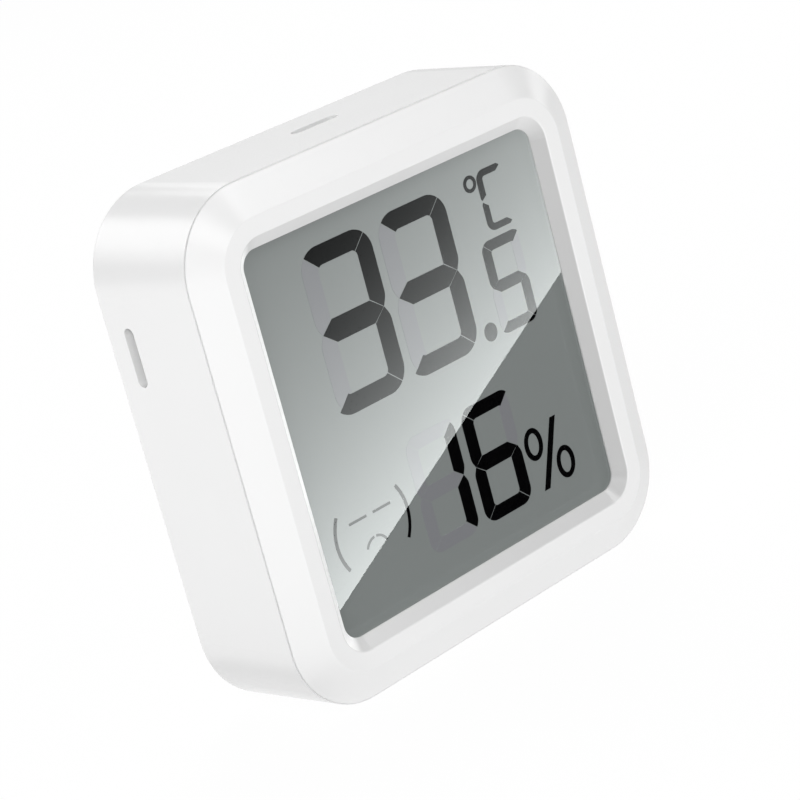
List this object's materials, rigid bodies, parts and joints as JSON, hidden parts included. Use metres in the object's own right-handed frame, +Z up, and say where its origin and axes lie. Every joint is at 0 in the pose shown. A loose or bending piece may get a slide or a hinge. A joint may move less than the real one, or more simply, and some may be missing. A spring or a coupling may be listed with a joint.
{
  "type": "temperature and humidity sensor",
  "caption": "Small square wireless temperature and humidity sensor with a reflective display, bevelled bezel, vent slots, twist-off battery door and a pairing button.",
  "frame": {"origin": "under the middle of the upright body, at the level of its lowest edge", "axes": "+Z up the display, -Y out of the display towards the reader, +Y out of the back, +X to the right of the display"},
  "size_m": [0.043, 0.0126, 0.043],
  "materials": {
    "shell": "white moulded plastic with a fine satin grain",
    "tape": "thin white double-sided adhesive film",
    "window": "clear polished acrylic",
    "polariser": "grey polarising film, smooth",
    "display_glass": "thin polished glass",
    "reflector_film": "grey reflective film",
    "holder_plastic": "plain white moulded plastic",
    "elastomer": "pink silicone strip with dark conducting layers",
    "board_laminate": "green solder mask over glass-fibre laminate",
    "chip_resin": "black moulded resin",
    "crystal_can": "plated lid",
    "capacitor_ceramic": "tan ceramic with tinned ends",
    "resistor_ceramic": "black coating with tinned ends",
    "contact_spring": "nickel-plated spring strip",
    "cell_steel": "bright nickel-plated steel",
    "cell_seal": "dark insulating plastic",
    "cell_pellet": "dark pressed powder",
    "switch_resin": "black moulded plastic",
    "switch_steel": "stamped steel plate"
  },
  "bodies": {
    "sensor_body": {"front_bezel": "shell", "main_housing": "shell", "back_cover": "shell", "window_tape": "tape", "display_window": "window", "front_polariser": "polariser", "front_glass": "display_glass", "rear_glass": "display_glass", "reflector": "reflector_film", "display_holder": "holder_plastic", "contact_strip": "elastomer", "main_board": "board_laminate", "controller_chip": "chip_resin", "driver_chip": "chip_resin", "sensor_chip": "chip_resin", "crystal": "crystal_can", "capacitors": "capacitor_ceramic", "resistors": "resistor_ceramic", "negative_contact": "contact_spring", "positive_contact": "contact_spring", "cell_can": "cell_steel", "cell_ring": "cell_seal", "cell_cap": "cell_steel", "cell_core": "cell_pellet", "switch_base": "switch_resin", "switch_plate": "switch_steel"},
    "door": {"battery_door": "shell"},
    "button": {"pairing_button": "shell"},
    "plunger": {"switch_plunger": "switch_resin"}
  },
  "joints": [
    {"name": "door_twist", "type": "hinge", "parent": "sensor_body", "child": "door", "pos_m": [0, 0.00625, 0.0215], "axis": [0, 1, 0], "range_deg": [0, 40]},
    {"name": "button_press", "type": "slide", "parent": "sensor_body", "child": "button", "axis": [0, -1, 0], "range_m": [0, 0.0003], "stiffness_N_per_m": 4000},
    {"name": "plunger_press", "type": "slide", "parent": "sensor_body", "child": "plunger", "axis": [0, -1, 0], "range_m": [0, 0.0003]}
  ],
  "couplings": [
    {"joint": "plunger_press", "follows": "button_press", "ratio": 1}
  ]
}
